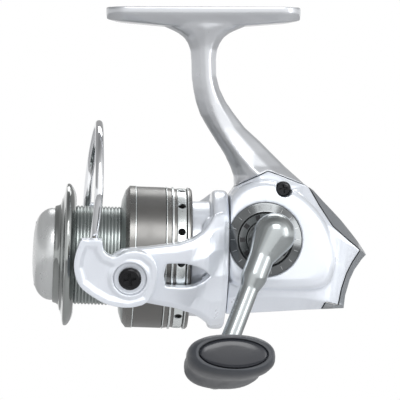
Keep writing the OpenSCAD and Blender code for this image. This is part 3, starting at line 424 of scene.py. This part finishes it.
def lathe(name, profile, material, replaced, place=None, steps=160):
    """Turned ring; the profile is a closed outline of places along the axis and radii."""
    place = place or shaft_frame
    turned = bmesh.new()
    rings = []
    for step in range(steps):
        angle = 2 * math.pi * step / steps
        across, up = math.cos(angle), math.sin(angle)
        rings.append([turned.verts.new(place @ Vector((x, r * across, r * up))) for x, r in profile])
    count = len(profile)
    for step, ring in enumerate(rings):
        following = rings[(step + 1) % steps]
        for i in range(count):
            j = (i + 1) % count
            turned.faces.new((ring[i], ring[j], following[j], following[i]))
    bmesh.ops.recalc_face_normals(turned, faces=turned.faces)
    mesh = bpy.data.meshes.new(name)
    turned.to_mesh(mesh)
    turned.free()
    piece = bpy.data.objects.new(name, mesh)
    scene.collection.objects.link(piece)
    mesh.materials.append(material)
    smooth(piece, 35)
    if replaced:
        stand_in(piece, replaced)
    else:
        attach(piece, "spool")


# Lip of the spool: a thin flange that swells to its root, with a collar round the foot of the drag knob.
LIP_PROFILE = [(-58.75, 15.05), (-58.65, 17.25), (-57.5, 17.25), (-57.35, 18.2), (-57.6, 19.2), (-58.1, 20.3),
               (-58.7, 21.2), (-59.2, 21.7), (-59.7, 21.85), (-60.2, 21.7), (-60.5, 21.2), (-60.65, 20.4),
               (-60.75, 19.4), (-61.0, 18.4), (-61.4, 17.4), (-61.7, 17.0), (-61.8, 16.2), (-62.1, 15.5),
               (-62.6, 15.1), (-63.2, 14.95), (-63.6, 14.8), (-63.75, 14.6), (-63.7, 14.4), (-61.0, 14.4),
               (-60.95, 15.05)]

# Drag knob: a shallow cap with a rounded shoulder.
KNOB_PROFILE = [(-61.6, 11.0), (-61.6, 13.4), (-61.9, 13.75), (-62.6, 13.95), (-63.6, 14.1), (-64.6, 14.12),
                (-65.4, 14.0), (-66.2, 13.7), (-67.0, 13.2), (-67.8, 12.5), (-68.5, 11.6), (-69.1, 10.4),
                (-69.6, 8.8), (-69.95, 6.6), (-70.15, 3.4), (-70.2, 0.6), (-69.0, 0.5), (-66.0, 11.0)]
BAR_HALF = (0.9, 2.2, 10.2)       # half sizes of the grip bar, along the shaft, wide and long
BAR_AT = -69.6                    # middle of the bar along the shaft
BAR_EDGE = 0.75                   # radius of its edges
BAR_BEND = 1.1                    # how far its ends bend back along the shaft


def grip_bar():
    """Rounded bar across the face of the drag knob."""
    solid = bmesh.new()
    bmesh.ops.create_cube(solid, size=2)
    for corner in solid.verts:
        corner.co = Vector((BAR_AT, 0, 0)) + Vector(c * h for c, h in zip(corner.co, BAR_HALF))
    bmesh.ops.bevel(solid, geom=solid.edges[:], offset=BAR_EDGE, segments=5, profile=0.5,
                    affect="EDGES")
    for corner in solid.verts:
        crown = (corner.co.z / BAR_HALF[2]) ** 2
        corner.co.x += BAR_BEND * crown
        corner.co = shaft_frame @ corner.co
    mesh = bpy.data.meshes.new("drag_knob_bar")
    solid.to_mesh(mesh)
    solid.free()
    piece = bpy.data.objects.new("drag_knob_bar", mesh)
    scene.collection.objects.link(piece)
    mesh.materials.append(satin)
    smooth(piece, 50)
    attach(piece, "drag_knob")


# Dial round the handle: a polished cone with ticks, and a dished floor with square windows inside it, filled with
# black plates as painted shade.
DIAL_PROFILE = [(15.5, 11.2), (16.0, 11.2), (16.25, 11.1), (16.35, 10.85), (17.75, 8.75),
                (17.85, 8.5), (17.7, 8.3), (16.6, 7.9), (16.45, 5.9), (16.9, 5.5), (16.9, 4.3),
                (15.5, 4.3)]
# The blocks on it: how many places round it, the middle of a block and its half sizes.
TICK_COUNT, TICK_AT, TICK_HALF = 36, (17.1, 9.8, 0), (0.12, 0.75, 0.1)
TICK_EVERY = 2                    # a tick at every second place
CONE_SLOPE = math.atan2(1.4, 2.1)
WINDOW_COUNT, WINDOW_AT, WINDOW_HALF = 10, (16.55, 6.9, 0), (0.15, 0.75, 0.7)


def blocks(name, material, count, middle, half, slope=0.0, every=1):
    """Small blocks set round the dial, each turned to face the middle."""
    solid = bmesh.new()
    for step in range(count):
        if step % every:
            continue
        turn = Matrix.Rotation(2 * math.pi * step / count, 4, "X")
        lean = Matrix.Translation(Vector(middle)) @ Matrix.Rotation(slope, 4, "Z")
        made = bmesh.ops.create_cube(solid, size=2)["verts"]
        bmesh.ops.scale(solid, vec=half, verts=made)
        bmesh.ops.transform(solid, matrix=dial_frame @ turn @ lean, verts=made)
    mesh = bpy.data.meshes.new(name)
    solid.to_mesh(mesh)
    solid.free()
    piece = bpy.data.objects.new(name, mesh)
    scene.collection.objects.link(piece)
    mesh.materials.append(material)
    edge = piece.modifiers.new("edge", "BEVEL")
    edge.width = 0.04 * MM
    edge.segments = 2
    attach(piece, "root")


SKIRT_R = 21.8
LINE_ROOT = 21.2                  # radius where a light line starts, inside the skirt
LINE_RISE = 0.05                  # how far a line stands proud
# Light lines round the skirt: place along the shaft and half width.
SKIRT_LINES = [(-39.3, 0.14), (-29.9, 0.14), (-28.0, 0.28), (-23.4, 0.14)]

moulded("rotor", pearl)
moulded("side_cover", pearl)
moulded("body_frame", stem_paint, rounds=16)
moulded("bail_lever", pearl, voxel=0.2, rounds=8, sculpt=dish_lever)
moulded("bail_holder", pearl, voxel=0.2, rounds=6)
bail_loop()
moulded("crank", crank_metal, voxel=0.2, rounds=8, keep=1)
two_tone_spool()
for number, (place_x, width) in enumerate(SKIRT_LINES):
    top = SKIRT_R + LINE_RISE
    ring = [(place_x - width, LINE_ROOT), (place_x - width, SKIRT_R), (place_x - 0.6 * width, top),
            (place_x + 0.6 * width, top), (place_x + width, SKIRT_R), (place_x + width, LINE_ROOT)]
    lathe(f"skirt_line_{number}", ring, ring_metal, None)
lathe("drag_knob_turned", KNOB_PROFILE, satin, "drag_knob")
grip_bar()
lathe("handle_dial_turned", DIAL_PROFILE, dial_metal, "handle_bezel", dial_frame)
blocks("dial_ticks", steel, TICK_COUNT, TICK_AT, TICK_HALF, CONE_SLOPE, TICK_EVERY)
# Black plates flush in the dial's windows: painted shade in place of their dark openings.
blocks("dial_window_shade", black_steel, WINDOW_COUNT, WINDOW_AT, WINDOW_HALF)
lathe("spool_lip_turned", LIP_PROFILE, lip_metal, "spool_lip")


# ---------- studio ----------

def level_ramp(tree, levels):
    """Colour ramp of grey levels over the height of a direction, from straight down to straight up."""
    ramp = tree.nodes.new("ShaderNodeValToRGB")
    first, last = ramp.color_ramp.elements
    first.position, last.position = 0.0, 1.0
    for element, level in ((first, levels[0][1]), (last, levels[-1][1])):
        element.color = (level, level, level, 1)
    for height, level in levels[1:-1]:
        element = ramp.color_ramp.elements.new((height + 1) / 2)
        element.color = (level, level, level, 1)
    return ramp


LIT_SIDE = Vector((0.45, -0.85, 0.28)).normalized()      # direction of the brightest part of the room
# Brightness of the room by the height of the direction, -1 down to 1 up, in front of the reel and behind it.
ROOM_FRONT = ((-1, 0.5), (-0.5, 0.9), (-0.1, 1.4), (0.5, 1.5), (0.85, 0.7), (1, 0.4))
ROOM_BACK = ((-1, 0.4), (-0.5, 0.9), (-0.3, 1.0), (0.12, 1.0), (0.2, 0.4), (0.6, 0.4), (0.9, 0.3),
             (1, 0.25))
# Softboxes: place from the middle of the reel in metres, width, height and power in watts.
SOFTBOXES = {
    "key": ((0.12, -0.6, 0.6), 0.5, 0.35, 2.4),
    "side": ((0.8, -0.42, 0.14), 0.28, 0.6, 1.7),
    "back": ((0.1, 0.6, 0.6), 0.6, 0.3, 1.6),
}
FLOOR_TONES = ((0.72, 0.72, 0.725), (0.76, 0.76, 0.765))
CAMERA_TARGET = (-0.0011, 0, -0.0593)
CAMERA_TURN = -3                  # degrees from square on, to the spool end
CAMERA_DISTANCE = 0.8904
CAMERA_LENS = 260


def set_world():
    """Pale room: white at eye level, brightest on the lit side, dimmer above and behind."""
    world = bpy.data.worlds.new("room")
    scene.world = world
    world.use_nodes = True
    tree = world.node_tree
    place = tree.nodes.new("ShaderNodeTexCoord")
    split = tree.nodes.new("ShaderNodeSeparateXYZ")
    height = tree.nodes.new("ShaderNodeMapRange")
    height.inputs["From Min"].default_value = -1
    facing = tree.nodes.new("ShaderNodeVectorMath")
    facing.operation = "DOT_PRODUCT"
    facing.inputs[1].default_value = LIT_SIDE
    behind = tree.nodes.new("ShaderNodeMapRange")
    behind.interpolation_type = "SMOOTHSTEP"
    behind.inputs["From Min"].default_value = 1.0
    behind.inputs["From Max"].default_value = 0.0
    blend = tree.nodes.new("ShaderNodeMix")
    blend.data_type = "RGBA"
    tree.links.new(place.outputs["Generated"], split.inputs["Vector"])
    tree.links.new(split.outputs["Z"], height.inputs["Value"])
    tree.links.new(place.outputs["Generated"], facing.inputs[0])
    tree.links.new(facing.outputs["Value"], behind.inputs["Value"])
    tree.links.new(behind.outputs["Result"], blend.inputs["Factor"])
    for levels, socket in ((ROOM_FRONT, "A"), (ROOM_BACK, "B")):
        ramp = level_ramp(tree, levels)
        tree.links.new(height.outputs["Result"], ramp.inputs["Fac"])
        tree.links.new(ramp.outputs["Color"], blend.inputs[socket])
    tree.links.new(blend.outputs["Result"], tree.nodes["Background"].inputs["Color"])
    tree.nodes["Background"].inputs["Strength"].default_value = 1.0


def softbox(name, place, aim, width, height, energy):
    data = bpy.data.lights.new(name, "AREA")
    data.shape = "RECTANGLE"
    data.size = width
    data.size_y = height
    data.energy = energy
    lamp = bpy.data.objects.new(name, data)
    lamp.location = place
    lamp.rotation_euler = (Vector(aim) - Vector(place)).to_track_quat("-Z", "Y").to_euler()
    scene.collection.objects.link(lamp)


def floor():
    """Pale floor well below the reel."""
    mesh = bpy.data.meshes.new("floor")
    sheet = bmesh.new()
    bmesh.ops.create_grid(sheet, x_segments=8, y_segments=8, size=FLOOR_REACH)
    sheet.to_mesh(mesh)
    sheet.free()
    piece = bpy.data.objects.new("floor", mesh)
    piece.location.z = cad_low.z - FLOOR_DROP
    scene.collection.objects.link(piece)
    n = Nodes("floor_pale")
    n.link(n.mix(n.noise(6), *FLOOR_TONES), n.shader.inputs["Base Color"])
    n.shader.inputs["Roughness"].default_value = 0.8
    mesh.materials.append(n.material)


def camera():
    """Level view of the handle side, turned three degrees to the spool end."""
    target = Vector(CAMERA_TARGET)
    azimuth = math.radians(CAMERA_TURN)
    data = bpy.data.cameras.new("camera")
    data.lens = CAMERA_LENS
    data.clip_end = 50
    piece = bpy.data.objects.new("camera", data)
    toward = Vector((math.sin(azimuth), -math.cos(azimuth), 0))
    piece.location = target + toward * CAMERA_DISTANCE
    piece.rotation_euler = (target - piece.location).to_track_quat("-Z", "Y").to_euler()
    scene.collection.objects.link(piece)
    scene.camera = piece


set_world()
middle = (cad_low + cad_high) / 2
for light, (offset, width, height, power) in SOFTBOXES.items():
    softbox(light, middle + Vector(offset), middle, width, height, power)
floor()
camera()
scene.view_settings.view_transform = "Standard"
